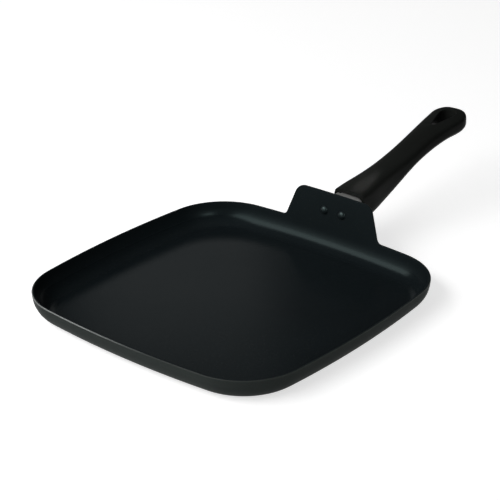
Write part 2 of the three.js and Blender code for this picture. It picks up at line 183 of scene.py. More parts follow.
class PanSizes(bpy.types.PropertyGroup):
    """Sizes of the pressed pan and of the lug on its back wall."""

    width: length("Width", "Rim across the sides", (PAN_HIGH.x - PAN_LOW.x) / MM)
    rim_height: length("Rim height", "Rim above the base", 21.5)
    corner_radius: length("Corner radius", "Rounding of the corners at the rim", 57.5)
    side_radius: length("Side radius", "Bow of the sides", 864)
    sheet: length("Sheet", "Thickness of the sheet", 2)
    base_bend: length("Base bend", "Outer radius between base and wall", 19)
    base_border: length("Base border", "Band of the flat beside the bend", 6)
    wall_lean: turn("Wall lean", "Lean of the wall outwards", 7)
    lip_round: length("Lip round", "Rounding of the sheet's cut edge", 0.65)
    lug_rise: length("Lug rise", "Height of the lug up its slope", 32)
    lug_foot: length("Lug foot", "Width of the lug at the rim", 103.4)
    lug_top: length("Lug top", "Width of the lug's top edge", 81)
    lug_top_radius: length("Lug top radius", "Rounding of the lug's top corners", 11)
    lug_foot_radius: length("Lug foot radius", "Rounding where the lug leaves the rim", 5)


class RivetSizes(bpy.types.PropertyGroup):
    """Sizes and places of the two rivets."""

    rise: length("Rise", "Height up the lug", 14.3)
    spacing: length("Spacing", "Distance between the rivets", 19.5)
    shank: length("Shank", "Diameter of the shank", 4.8)
    head: length("Head", "Diameter of the head", 8)
    head_height: length("Head height", "Height of the domed head", 2.4)
    tail: length("Tail", "Diameter of the upset tail", 7.4)
    tail_height: length("Tail height", "Height of the upset tail", 1.8)
    land: length("Land", "Straight edge beside each dome", 0.25)
    edge: length("Edge", "Rounding of the edges", 0.2)


class BracketSizes(bpy.types.PropertyGroup):
    """Sizes of the pressed steel bracket."""

    plate: length("Plate", "Thickness of the steel", 2)
    gap: length("Gap", "Clearance behind the lug", 0.3)
    foot_width: length("Foot width", "Width of the riveted foot", 42)
    foot_start: length("Foot start", "Lower edge of the foot above the rim", 5.5)
    foot_height: length("Foot height", "Height of the foot up the lug", 15)
    foot_corner: length("Foot corner", "Rounding of the foot's corners", 4)
    neck_width: length("Neck width", "Width of the channel between lug and grip", 29)
    neck_depth: length("Neck depth", "Depth of the channel's flanges", 10)
    neck_relief: length("Neck relief", "Where the flanges start behind the lug", 5)
    neck_rise: length("Neck rise", "Web's upper face above the rim at the grip", 23.4)
    neck_pitch: turn("Neck pitch", "Climb of the web towards the grip", 5)
    tongue_width: length("Tongue width", "Width of the tongue in the grip", 22)
    tongue_depth: length("Tongue depth", "Depth of the tongue's flanges", 8.5)
    tongue_length: length("Tongue length", "Length of the tongue in the grip", 40)
    bend_radius: length("Bend radius", "Inner radius of the bends", 1.5)
    edge: length("Edge", "Rounding of the cut edges", 0.35)


class GripSizes(bpy.types.PropertyGroup):
    """Sizes of the moulded grip."""

    offset: length("Offset", "Front of the grip behind the rim", 23.8)
    length: length("Length", "Length of the grip", 175.3)
    crown: length("Crown", "Rise of the top across its width", 1.3)
    belly: length("Belly", "Fall of the underside across its width", 1.6)
    shoulder_radius: length("Shoulder radius", "Rounding of the upper edges", 3.6)
    base_radius: length("Base radius", "Rounding of the lower edges", 7)
    end_round: length("End round", "Length of the rounded end", 18.2)
    end_edge: length("End edge", "Rounding of the edges at the end", 5)
    front_edge: length("Front edge", "Rounding of the edge at the front", 0.9)
    socket_corner: length("Socket corner", "Rounding of the socket's corners", 0.5)
    socket_lip: length("Socket lip", "Depth of the socket's rounded lip", 0.6)
    recess_border: length("Recess border", "Band of the underside round the screw's recess", 1.6)
    recess_play: length("Recess play", "Clearance round the screw's head", 0.6)
    recess_lip: length("Recess lip", "Depth of the recess's rounded lip", 0.5)
    recess_corner: length("Recess corner", "Rounding at the bottom of the recess", 0.4)
    hole_margin: length("Hole margin", "Round end of the hang hole from the grip's end", 17)
    hole_radius: length("Hole radius", "Round end of the hang hole", 8.5)
    hole_length: length("Hole length", "Between the hole's round end and its point", 24)
    hole_tip: length("Hole tip", "Radius at the point of the hang hole", 2)
    hole_edge: length("Hole edge", "Rounding of the hole's edges", 1)


class ScrewSizes(bpy.types.PropertyGroup):
    """Sizes of the screw that holds the grip."""

    reach: length("Reach", "Screw behind the front of the grip", 27)
    shank: length("Shank", "Diameter of the shank", 4.8)
    head: length("Head", "Diameter of the head", 9.2)
    head_height: length("Head height", "Height of the head", 3)
    crown: length("Crown", "Rise of the head's domed top", 0.9)
    edge: length("Edge", "Rounding of the edges", 0.35)
    seat: length("Seat", "Grip left between the socket and the washer", 5.5)
    washer: length("Washer", "Thickness of the lock washer with its play", 1.5)
    cross_length: length("Cross length", "Length of the cross slots", 4.8)
    cross_width: length("Cross width", "Width of the cross slots", 1.1)
    cross_depth: length("Cross depth", "Depth of the cross slots", 1.5)


class FinishColours(bpy.types.PropertyGroup):
    """Colours of the coatings, the moulding, the steel and the floor."""

    inside: colour("Inside coat", "Non-stick coat on the cooking side", (0.0064, 0.0092, 0.0106))
    outside: colour("Outside coat", "Coat on the outer side", (0.0340, 0.0395, 0.0375))
    fleck: colour("Fleck", "Fine mineral flecks in the coats", (0.0280, 0.0310, 0.0310))
    gleam: colour("Gleam", "Tint of the coats' gloss", (0.7200, 1.0000, 0.9800))
    grip: colour("Grip", "Black phenolic moulding", (0.0116, 0.0128, 0.0118))
    # Bare sheet colour, laid only on the rim's front left stretch: a bare edge that also stands in as a
    # painted highlight.
    edge: colour("Edge", "Bare sheet at the rim's outer edge", (0.6000, 0.6200, 0.6100))
    steel: colour("Steel", "Plated steel", (0.6200, 0.6250, 0.6100))
    floor: colour("Floor", "Plain pale floor", (0.7000, 0.7000, 0.7000))


class StageSettings(bpy.types.PropertyGroup):
    """Camera and lamps of the studio."""

    azimuth: turn("Azimuth", "Camera round the pan", 39.868)
    elevation: turn("Elevation", "Camera above the horizon", 25.443)
    roll: turn("Roll", "Turn of the camera about its line of sight", -0.304)
    distance: length("Distance", "Camera from its target", 1457.9)
    lens: amount("Lens", "Focal length in millimetres on a 36 mm sensor", 115.6)
    key: amount("Key lamp", "Power of the long lamp at the front left in watts", 27.5)
    fill: amount("Fill lamp", "Power of the large lamp below the key lamp in watts", 18.0)
    back: amount("Back lamp", "Power of the low lamp behind the pan in watts", 0.14)
    high: amount("High lamp", "Power of the narrow lamp behind the pan in watts", 0.00019)
    right: amount("Right lamp", "Power of the narrow lamp at the right in watts", 0.05)


class GriddleSettings(bpy.types.PropertyGroup):
    """All settings of the griddle pan."""

    pan: PointerProperty(type=PanSizes)
    rivet: PointerProperty(type=RivetSizes)
    bracket: PointerProperty(type=BracketSizes)
    grip: PointerProperty(type=GripSizes)
    screw: PointerProperty(type=ScrewSizes)
    colours: PointerProperty(type=FinishColours)
    stage: PointerProperty(type=StageSettings)


class Wire:
    """A value in a node tree; Python's operators on it add Math nodes."""

    def __init__(self, sheet, socket):
        self.sheet = sheet
        self.socket = socket

    def maths(self, operation, left, right):
        """Adds a Math node."""
        return self.sheet.node("ShaderNodeMath", {"operation": operation}, {0: left, 1: right})

    def __add__(self, other):
        return self.maths("ADD", self, other)

    def __radd__(self, other):
        return self.maths("ADD", other, self)

    def __sub__(self, other):
        return self.maths("SUBTRACT", self, other)

    def __rsub__(self, other):
        return self.maths("SUBTRACT", other, self)

    def __mul__(self, other):
        return self.maths("MULTIPLY", self, other)

    def __rmul__(self, other):
        return self.maths("MULTIPLY", other, self)

    def __gt__(self, other):
        return self.maths("GREATER_THAN", self, other)


class NodeSheet:
    """A node tree that is filled in one node at a time."""

    def __init__(self, tree):
        self.tree = tree
        self.tree.nodes.clear()

    def node(self, kind, settings=None, sockets=None, output=0):
        """Adds a node, sets it up, fills its sockets with values or wires and gives one output."""
        node = self.tree.nodes.new(kind)
        for name, value in (settings or {}).items():
            if name == "stops":
                self.set_stops(node.color_ramp.elements, value)
            else:
                setattr(node, name, value)
        for name, value in (sockets or {}).items():
            if isinstance(value, Wire):
                self.tree.links.new(value.socket, node.inputs[name])
            else:
                node.inputs[name].default_value = value
        return Wire(self, node.outputs[output]) if node.outputs else None

    def set_stops(self, ramp, stops):
        """Gives a colour ramp its places and tones."""
        while len(ramp) < len(stops):
            ramp.new(1.0)
        for element, (place, tone) in zip(ramp, stops):
            element.position = place
            element.color = shade((tone, tone, tone))

    def place(self):
        """Place on the piece."""
        return self.node("ShaderNodeTexCoord", output="Object")

    def along(self, axis):
        """Place on the piece along one axis."""
        return self.node("ShaderNodeSeparateXYZ", None, {0: self.place()}, axis)

    def stretched(self, scale, spin=0.0):
        """Place on the piece, turned about X and scaled along each axis."""
        sockets = {"Vector": self.place(), "Scale": scale, "Rotation": (spin, 0.0, 0.0)}
        return self.node("ShaderNodeMapping", None, sockets)

    def noise(self, scale, detail, vector=None):
        """Soft clouds, from 0 to 1."""
        sockets = {"Scale": scale, "Detail": detail, "Vector": vector or self.place()}
        return self.node("ShaderNodeTexNoise", None, sockets, "Fac")

    def flecks(self, scale, share, strength):
        """Small separate specks of one strength, on the given share of the surface's cells."""
        cells = {"Scale": scale, "Randomness": 1.0, "Vector": self.place()}
        tone = self.node("ShaderNodeTexVoronoi", None, cells, "Color")
        lot = self.node("ShaderNodeSeparateColor", None, {0: tone}, "Red")
        return (lot > 1 - share) * strength

    def mix(self, share, low, high):
        """Blends two colours."""
        return self.node("ShaderNodeMix", {"data_type": "RGBA"}, {0: share, 6: low, 7: high}, 2)

    def between(self, value, low, high):
        """Rises smoothly from 0 to 1 as a value goes from low to high."""
        settings = {"interpolation_type": "SMOOTHSTEP"}
        return self.node("ShaderNodeMapRange", settings, {0: value, 1: low, 2: high})

    def bump(self, height, distance, strength, below=None):
        """Fine relief, laid over another one where one is given."""
        sockets = {"Height": height, "Distance": distance, "Strength": strength}
        if below:
            sockets["Normal"] = below
        return self.node("ShaderNodeBump", None, sockets)

    def surface(self, sockets):
        """Ends a material in one surface shader."""
        shader = self.node("ShaderNodeBsdfPrincipled", None, sockets)
        self.node("ShaderNodeOutputMaterial", None, {"Surface": shader})


def new_finish(name):
    """A new material and the sheet of nodes that fills it."""
    material = bpy.data.materials.new(name)
    material.use_nodes = True
    return material, NodeSheet(material.node_tree)


def shade(tone, factor=1.0):
    """A colour socket's value, made lighter or darker."""
    return tuple(channel * factor for channel in tone) + (1.0,)


def coat_finish(name, tone, colours, roughness, ior, dulling=0.0):
    """Sprayed satin coat: cloudy tone, fine flecks, a slight orange peel, duller up a wall."""
    material, sheet = new_finish(name)
    clouds = sheet.noise(scale=16.0, detail=3.0)
    specks = sheet.flecks(scale=1500.0, share=0.035, strength=0.22)
    body = sheet.mix(clouds, shade(tone, 0.82), shade(tone, 1.18))
    peel = sheet.bump(sheet.noise(scale=620.0, detail=2.0), distance=0.05 * MM, strength=0.45)
    grit = sheet.noise(scale=2400.0, detail=1.0)
    up_wall = sheet.between(sheet.along("Z"), DULL_FROM, DULL_TO)
    sheet.surface({
        "Base Color": sheet.mix(specks, body, shade(colours.fleck)),
        "Roughness": roughness - 0.04 + 0.08 * clouds + dulling * up_wall,
        "IOR": ior,
        "Specular Tint": shade(colours.gleam),
        "Normal": sheet.bump(grit, distance=0.02 * MM, strength=0.5, below=peel),
    })
    return material


def phenolic_finish(colours):
    """Black phenolic moulding: semi-gloss, with a fine mould texture and faint flow marks."""
    material, sheet = new_finish("black_phenolic")
    flow = sheet.noise(scale=40.0, detail=3.0, vector=sheet.stretched((1.0, 0.25, 1.0)))
    wave = sheet.bump(sheet.noise(scale=90.0, detail=1.0), distance=0.08 * MM, strength=0.25)
    grain = sheet.noise(scale=1700.0, detail=2.0)
    sheet.surface({
        "Base Color": sheet.mix(flow, shade(colours.grip, 0.8), shade(colours.grip, 1.25)),
        "Roughness": 0.30 + 0.06 * flow,
        "IOR": 1.10,
        "Normal": sheet.bump(grain, distance=0.02 * MM, strength=0.6, below=wave),
    })
    return material


def metal_finish(name, tone, roughness, spin=0.0):
    """Plated metal with rolling lines along the strip and dull patches."""
    material, sheet = new_finish(name)
    lines = sheet.noise(scale=900.0, detail=2.0, vector=sheet.stretched((1.0, 0.04, 1.0), spin))
    patches = sheet.noise(scale=140.0, detail=3.0)
    sheet.surface({
        "Base Color": sheet.mix(patches, shade(tone, 0.80), shade(tone, 1.12)),
        "Metallic": 1.0,
        "Roughness": roughness - 0.08 + 0.12 * patches + 0.08 * lines,
        "Normal": sheet.bump(lines, distance=0.02 * MM, strength=0.5),
    })
    return material


def rim_finish(colours):
    """Coat on the rim's outer edge, turned to bare metal along the front left: partly a bare edge, partly
    a painted highlight laid where the lamp's highlight falls on the lip.
    """
    material, sheet = new_finish("rim_edge")
    x = sheet.along("X")
    across = sheet.between(x, *BARE_GLINT_RIGHT) * sheet.between(x, *BARE_GLINT_LEFT)
    stretch = across * sheet.between(sheet.along("Y"), *BARE_GLINT_BACK)
    # Share of bare metal along the front left of the lip: a painted highlight on a bare edge.
    bare_glint = stretch * (0.22 + 0.24 * sheet.noise(scale=260.0, detail=3.0))
    sheet.surface({
        "Base Color": sheet.mix(bare_glint, shade(colours.outside), shade(colours.edge)),
        "Metallic": bare_glint,
        "Roughness": 0.40 - 0.15 * bare_glint,
        "IOR": 1.22,
    })
    return material


def floor_finish(colours):
    """White floor that shows as plain white and still takes the shadow."""
    material, sheet = new_finish("studio_floor")
    seen = sheet.node("ShaderNodeLightPath", output="Is Camera Ray")
    mirrored = sheet.node("ShaderNodeLightPath", output="Is Glossy Ray")
    through = sheet.node("ShaderNodeLightPath", output="Is Transmission Ray")
    grain = sheet.noise(scale=3.0, detail=2.0)
    white = sheet.mix(grain, shade(colours.floor, 0.98), shade(colours.floor))
    diffuse = sheet.node("ShaderNodeBsdfDiffuse", None, {"Color": white})
    strength = (seen + mirrored + through) * FLOOR_GLOW
    glow = sheet.node("ShaderNodeEmission", None, {"Strength": strength})
    both = sheet.node("ShaderNodeAddShader", None, {0: diffuse, 1: glow})
    sheet.node("ShaderNodeOutputMaterial", None, {"Surface": both})
    return material


def verts_of(geometry):
    """The vertices among what an operator has made."""
    return [item for item in geometry if isinstance(item, bmesh.types.BMVert)]


def edges_of(geometry):
    """The edges among what an operator has made."""
    return [item for item in geometry if isinstance(item, bmesh.types.BMEdge)]


def faces_of(geometry):
    """The faces among what an operator has made."""
    return [item for item in geometry if isinstance(item, bmesh.types.BMFace)]


def open_edges(bm, lies):
    """Edges of one face only whose ends both lie where a test says."""
    return [edge for edge in bm.edges if edge.is_boundary and all(lies(vert.co) for vert in edge.verts)]


def spun_arc(bm, tip, centre, axis, angle, steps):
    """Draws an arc on from a vertex and gives its far end."""
    made = bmesh.ops.spin(bm, geom=[tip], cent=centre, axis=axis, angle=angle, steps=steps,
                          use_merge=False)
    return verts_of(made["geom_last"])[0]


def drawn_line(bm, tip, end):
    """Draws a line on from a vertex and gives its far end."""
    made = bmesh.ops.extrude_vert_indiv(bm, verts=[tip])
    made["verts"][0].co = end
    return made["verts"][0]


def closed_up(bm):
    """Merges doubles and turns the faces outwards."""
    bmesh.ops.remove_doubles(bm, verts=bm.verts[:], dist=TOUCH)
    bmesh.ops.recalc_face_normals(bm, faces=bm.faces[:])


def soften(bm, offset):
    """Rounds every sharp edge."""
    sharp = [edge for edge in bm.edges if edge.is_manifold and edge.calc_face_angle() > SHARP]
    bmesh.ops.bevel(bm, geom=sharp, offset=offset, affect="EDGES", segments=3, profile=0.5,
                    material=-1, clamp_overlap=True)


def raised(bm, faces):
    """Extrudes faces, leaves none of the old ones behind and gives what is new."""
    made = bmesh.ops.extrude_face_region(bm, geom=faces)["geom"]
    bmesh.ops.delete(bm, geom=faces, context="FACES")
    return made


def piece_from(bm, name, materials, node):
    """Makes a piece of a bmesh, in place of a CAD node."""
    for face in bm.faces:
        face.smooth = True
    mesh = bpy.data.meshes.new(name)
    bm.to_mesh(mesh)
    bm.free()
    for material in materials:
        mesh.materials.append(material)
    piece = bpy.data.objects.new(name, mesh)
    bpy.context.scene.collection.objects.link(piece)
    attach(piece, "root")
    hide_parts(node)
    return piece


def even_shading(piece):
    """Shades flat faces flat beside their rounded edges."""
    weighted = piece.modifiers.new("Even shading", "WEIGHTED_NORMAL")
    weighted.keep_sharp = True


def lug_frame(pan):
    """Across, up the lug's slope and into the pan, from the outer face at the rim."""
    start = Matrix.Translation((0.0, pan.width / 2, pan.rim_height))
    return start @ Matrix.Rotation(pi / 2 - pan.wall_lean, 4, "X")


def web_frame(settings):
    """Across, along the bracket's web and out of its upper face, from the front of the grip."""
    front = settings.pan.width / 2 + settings.grip.offset
    top = settings.pan.rim_height + settings.bracket.neck_rise
    return Matrix.Translation((0.0, front, top)) @ Matrix.Rotation(settings.bracket.neck_pitch, 4, "X")


def washer_seat(settings):
    """Height of the washer's seat in the grip, out of the bracket's web."""
    return -(settings.bracket.tongue_depth + settings.bracket.gap + settings.screw.seat)


class LugEdge:
    """Edge of the lug: straight and curved runs from the middle of its top down to the rim."""

    def __init__(self, pan):
        self.rise = pan.lug_rise * cos(pan.wall_lean)
        shift = (pan.lug_foot - pan.lug_top) / 2
        slope = atan2(self.rise, shift)
        cut = tan(slope / 2)
        # Length of each run, and its turn to the right
        self.runs = (
            (pan.lug_top / 2 - pan.lug_top_radius * cut, 0.0),
            (pan.lug_top_radius * slope, slope),
            (hypot(self.rise, shift) - (pan.lug_top_radius + pan.lug_foot_radius) * cut, 0.0),
            (pan.lug_foot_radius * slope, -slope),
        )
        self.length = sum(run for run, bend in self.runs)
        self.half_width = self.walked(1.0)[0]
        self.half_angle = asin(self.half_width / pan.side_radius)

    def walked(self, share):
        """Place and heading reached by walking a share of the edge."""
        distance = share * self.length
        x, z, heading = 0.0, self.rise, 0.0
        for run, bend in self.runs:
            part = min(run, distance)
            distance -= part
            turned = heading - bend * part / run
            if bend:
                radius = run / bend
                x += radius * (sin(heading) - sin(turned))
                z += radius * (cos(turned) - cos(heading))
            else:
                x += part * cos(heading)
                z += part * sin(heading)
            heading = turned
        return x, z, heading


def outline_arcs(pan):
    """Centres of the outline's side and corner arcs, and half the angle of a side arc."""
    side = pan.width / 2 - pan.side_radius
    corner = (side + sqrt(2 * (pan.side_radius - pan.corner_radius) ** 2 - side ** 2)) / 2
    return side, corner, atan2(corner, corner - side)


def draw_profile(bm, pan):
    """Draws the wall's profile on the right side, from the base over the lip to the floor."""
    lean = pan.wall_lean
    half = pan.width / 2
    rounding = pan.lip_round
    lip_level = pan.rim_height - rounding
    lip = pan.sheet / cos(lean)
    bend_level = pan.base_bend * (1 - sin(lean))
    bend_inset = (pan.rim_height - bend_level) * tan(lean) + pan.base_bend * cos(lean)
    heart = Vector((half - bend_inset, 0.0, pan.base_bend))
    wall = Vector((cos(lean), 0.0, -sin(lean)))
    outer_edge = Vector((half - rounding * (1 + sin(lean)) / cos(lean), 0.0, lip_level))
    inner_edge = Vector((half - lip + rounding * (1 - sin(lean)) / cos(lean), 0.0, lip_level))
    tip = bm.verts.new((heart.x, 0.0, 0.0))
    tip = spun_arc(bm, tip, heart, (0, -1, 0), pi / 2 - lean, BASE_BEND_STEPS)
    tip = drawn_line(bm, tip, outer_edge + wall * rounding)
    tip = spun_arc(bm, tip, outer_edge, (0, -1, 0), pi / 2 + lean, LIP_STEPS)
    tip = drawn_line(bm, tip, inner_edge + Vector((0.0, 0.0, rounding)))
    tip = spun_arc(bm, tip, inner_edge, (0, -1, 0), pi / 2 - lean, LIP_STEPS)
    tip = drawn_line(bm, tip, heart + wall * (pan.base_bend - pan.sheet))
    spun_arc(bm, tip, heart, (0, 1, 0), pi / 2 - lean, BASE_BEND_STEPS)


def sweep_profile(bm, pan, edge):
    """Sweeps the profile round the outline, with finer steps where the lug will stand."""
    side, corner, swing = outline_arcs(pan)
    bmesh.ops.rotate(bm, cent=(side, 0, 0), matrix=Matrix.Rotation(-swing, 3, "Z"), verts=bm.verts[:])
    beside_lug = (swing - edge.half_angle, BESIDE_LUG_STEPS)
    lug_side = (beside_lug, (2 * edge.half_angle, LUG_STEPS), beside_lug)
    plain_side = ((2 * swing, SIDE_STEPS),)
    swept = bm.verts[:] + bm.edges[:]
    for quarter, stretches in enumerate((plain_side, lug_side, plain_side, plain_side)):
        turned = Matrix.Rotation(quarter * pi / 2, 4, "Z")
        arcs = [(Vector((side, 0, 0)), angle, steps) for angle, steps in stretches]
        arcs.append((Vector((corner, corner, 0)), pi / 2 - 2 * swing, CORNER_STEPS))
        for centre, angle, steps in arcs:
            made = bmesh.ops.spin(bm, geom=swept, cent=turned @ centre, axis=(0, 0, 1), angle=angle,
                                  steps=steps, use_merge=False)
            swept = made["geom_last"]
    bmesh.ops.remove_doubles(bm, verts=bm.verts[:], dist=TOUCH)


def fill_flat(bm, pan):
    """Fills the base and the floor, each with a narrow band beside its bend."""
    for level in (0.0, pan.sheet):
        ring = [edge for edge in bm.edges if edge.is_boundary and abs(edge.verts[0].co.z - level) < TOUCH]
        disc = bmesh.ops.edgeloop_fill(bm, edges=ring)["faces"]
        bmesh.ops.inset_individual(bm, faces=disc, thickness=pan.base_border, use_even_offset=True)


def on_lip(face, pan):
    """Whether a face belongs to the rounded lip."""
    low = pan.rim_height - pan.lip_round * (1 + sin(pan.wall_lean)) - TOUCH
    return all(vert.co.z > low for vert in face.verts)


def coat_faces(bm, pan):
    """Gives the rim's outer edge, the outer side and the inside their coats."""
    outwards = 0.25
    downwards = -0.02
    for face in bm.faces:
        middle = face.calc_center_median()
        if on_lip(face, pan) and face.normal.dot(middle) > outwards * middle.length:
            face.material_index = RIM_EDGE
        elif face.normal.z < downwards:
            face.material_index = OUTSIDE
        else:
            face.material_index = INSIDE


def draw_lug(bm, pan, edge):
    """Draws the lug up from the lip at the back of the pan."""
    side = outline_arcs(pan)[0]
    root = []
    for face in bm.faces:
        middle = face.calc_center_median()
        if on_lip(face, pan) and middle.y > 0 and abs(middle.x) < edge.half_width:
            root.append(face)
    for vert in verts_of(raised(bm, root)):
        radius = hypot(vert.co.x, vert.co.y - side)
        share = asin(vert.co.x / radius) / edge.half_angle
        depth = pan.rim_height - vert.co.z
        across, up, heading = edge.walked(abs(share))
        across = copysign(across + depth * sin(heading), share)
        up -= depth * cos(heading)
        reach = radius + (up + depth) * tan(pan.wall_lean)
        vert.co = (across, side + sqrt(reach ** 2 - across ** 2), pan.rim_height + up)
    closed_up(bm)
    for face in bm.faces:
        heights = [vert.co.z for vert in face.verts]
        from_lip = min(heights) < pan.rim_height - pan.lip_round and max(heights) > pan.rim_height
        if from_lip and face.normal.z < 0:
            face.material_index = OUTSIDE


def press_pan(pan):
    """Sheet pan: profile swept round the outline, base and floor filled, lug drawn up from the lip."""
    edge = LugEdge(pan)
    bm = bmesh.new()
    draw_profile(bm, pan)
    sweep_profile(bm, pan, edge)
    fill_flat(bm, pan)
    closed_up(bm)
    coat_faces(bm, pan)
    draw_lug(bm, pan, edge)
    return bm


def turned_part(bm):
    """Spins a profile that lies in the XZ plane into a closed solid about Z."""
    bmesh.ops.spin(bm, geom=bm.verts[:] + bm.edges[:], cent=(0, 0, 0), axis=(0, 0, 1), angle=2 * pi,
                   steps=TURNED_STEPS, use_merge=True)
    closed_up(bm)


def domed_line(bm, tip, height, width, outwards):
    """Draws a cap's outline, outwards from its upper pole or inwards to its lower pole."""
    ball = (width ** 2 / 4 + height ** 2) / (2 * height)
    shift = -ball if outwards else ball - height
    sweep = asin(min(1.0, width / 2 / ball))
    return spun_arc(bm, tip, Vector((0.0, 0.0, tip.co.z + shift)), (0, 1, 0), sweep, DOME_STEPS)


def turn_rivet(rivet, pan, bracket, across):
    """Rivet with a domed head in the pan and an upset tail behind the bracket."""
    seat = pan.sheet
    back = -(bracket.plate + 2 * bracket.gap)
    bm = bmesh.new()
    tip = bm.verts.new((0.0, 0.0, seat + rivet.head_height))
    tip = domed_line(bm, tip, rivet.head_height - rivet.land, rivet.head, outwards=True)
    tip = drawn_line(bm, tip, (rivet.head / 2, 0.0, seat))
    tip = drawn_line(bm, tip, (rivet.shank / 2, 0.0, seat))
    tip = drawn_line(bm, tip, (rivet.shank / 2, 0.0, back))
    tip = drawn_line(bm, tip, (rivet.tail / 2, 0.0, back))
    tip = drawn_line(bm, tip, (rivet.tail / 2, 0.0, back - rivet.land))
    domed_line(bm, tip, rivet.tail_height - rivet.land, rivet.tail, outwards=False)
    turned_part(bm)
    soften(bm, rivet.edge)
    bm.transform(lug_frame(pan) @ Matrix.Translation((across, rivet.rise, 0.0)))
    return bm


def run_on(bm, edges, end):
    """Runs the bracket's web on along its length and gives what is new."""
    made = bmesh.ops.extrude_edge_only(bm, edges=edges)["geom"]
    for vert in verts_of(made):
        vert.co.y = end
    return made


def fold_flanges(bm, bracket, flat, start, depth):
    """Folds a flange down from each side of the web, from a start to the web's end."""
    mid = bracket.plate / 2
    bend = bracket.bend_radius + mid
    for way in (-1, 1):
        rail = open_edges(bm, lambda co: abs(co.x - way * flat) < TOUCH and co.y > start - TOUCH)
        ends = list({vert for edge in rail for vert in edge.verts})
        made = bmesh.ops.spin(bm, geom=rail + ends, cent=(way * flat, 0, -mid - bend), axis=(0, way, 0),
                              angle=pi / 2, steps=FLANGE_BEND_STEPS, use_merge=False)
        flange = bmesh.ops.extrude_edge_only(bm, edges=edges_of(made["geom_last"]))["geom"]
        for vert in verts_of(flange):
            vert.co.z = -depth


def widen_foot(bm, bracket, flat):
    """Draws the foot's lower part out to both sides and gives the corners of its ears."""
    low = min(vert.co.z for vert in bm.verts)
    sides = open_edges(bm, lambda co: abs(abs(co.x) - flat) < TOUCH)
    lowest = [edge for edge in sides if min(vert.co.z for vert in edge.verts) < low + TOUCH]
    corners = verts_of(bmesh.ops.extrude_edge_only(bm, edges=lowest)["geom"])
    for vert in corners:
        vert.co.x = copysign(bracket.foot_width / 2, vert.co.x)
    return corners


def press_bracket(settings):
    """Bracket as a thin sheet along the middle of its plate: foot, bend, channel neck and tongue."""
    pan, bracket = settings.pan, settings.bracket
    web = web_frame(settings)
    lug = web.inverted() @ lug_frame(pan)
    mid = bracket.plate / 2
    bend = bracket.bend_radius + mid
    slope = lug.to_3x3() @ Vector((0, 1, 0))
    foot_plane = lug @ Vector((0, 0, -bracket.gap - mid))
    climb = (-mid - foot_plane.z) / slope.z
    corner = foot_plane + slope * climb
    swing = atan2(slope.z, slope.y)
    cut = bend * tan(swing / 2)
    bend_start = corner.y + cut
    relief = corner.y + bracket.neck_relief + bend
    neck_flat = bracket.neck_width / 2 - mid - bend
    tongue_flat = bracket.tongue_width / 2 - mid - bend
    neck_end = -bracket.gap

    bm = bmesh.new()
    columns = (-neck_flat, -tongue_flat, tongue_flat, neck_flat)
    row = [bm.verts.new((x, relief, -mid)) for x in columns]
    line = [bm.edges.new(pair) for pair in zip(row, row[1:])]

    front = run_on(bm, line, bend_start)
    made = bmesh.ops.spin(bm, geom=verts_of(front) + edges_of(front), cent=(0, bend_start, -mid - bend),
                          axis=(1, 0, 0), angle=swing, steps=FOOT_BEND_STEPS, use_merge=False)
    foot = made["geom_last"]
    drop = climb - cut - bracket.foot_start - bracket.foot_height + bracket.foot_corner
    for fall in (drop, bracket.foot_height - bracket.foot_corner):
        foot = bmesh.ops.extrude_edge_only(bm, edges=edges_of(foot))["geom"]
        bmesh.ops.translate(bm, vec=-slope * fall, verts=verts_of(foot))
    foot_corners = widen_foot(bm, bracket, neck_flat)

    run_on(bm, line, neck_end)
    fold_flanges(bm, bracket, neck_flat, relief, bracket.neck_depth)
    middle = open_edges(
        bm, lambda co: abs(co.y - neck_end) < TOUCH and abs(co.x) < tongue_flat + TOUCH)
    run_on(bm, middle, bracket.tongue_length)
    fold_flanges(bm, bracket, tongue_flat, neck_end, bracket.tongue_depth)
    bmesh.ops.bevel(bm, geom=foot_corners, offset=bracket.foot_corner, affect="VERTICES", segments=6,
                    profile=0.5, material=-1)
    closed_up(bm)
    bm.transform(web)
    return bm


def station_slope(index, column):
    """Slope of a curve through the grip's stations at one of them."""
    before = GRIP_STATIONS[max(index - 1, 0)]
    after = GRIP_STATIONS[min(index + 1, len(GRIP_STATIONS) - 1)]
    return (after[column] - before[column]) / (after[0] - before[0])


def stations_at(share):
    """Half widths and heights of the grip at a share of its length, on smooth curves."""
    i = 0
    while i < len(GRIP_STATIONS) - 2 and share > GRIP_STATIONS[i + 1][0]:
        i += 1
    start, end = GRIP_STATIONS[i], GRIP_STATIONS[i + 1]
    run = end[0] - start[0]
    t = (share - start[0]) / run
    blend = t * t * (3 - 2 * t)
    values = []
    for column in range(1, len(start)):
        bow = t * (1 - t) * ((1 - t) * station_slope(i, column) - t * station_slope(i + 1, column))
        values.append((start[column] + (end[column] - start[column]) * blend + bow * run) * MM)
    return values


def section(shoulder, base, top, bottom, crown, belly, upper, lower):
    """Half of a section's cage, from the middle of its top round to the middle of its underside."""
    lean = (base - shoulder) / (top - bottom)
    return (
        (0.0, top + crown),
        (shoulder / 2, top + CROWN_HALF_WAY * crown),
        (shoulder - upper, top + CROWN_AT_EDGE * crown),
        (shoulder + lean * upper, top - upper),
        ((shoulder + base) / 2, (top + bottom) / 2),
        (base - lean * lower, bottom + lower),
        (base - lower, bottom - CROWN_AT_EDGE * belly),
        (base / 2, bottom - CROWN_HALF_WAY * belly),
        (0.0, bottom - belly),
    )


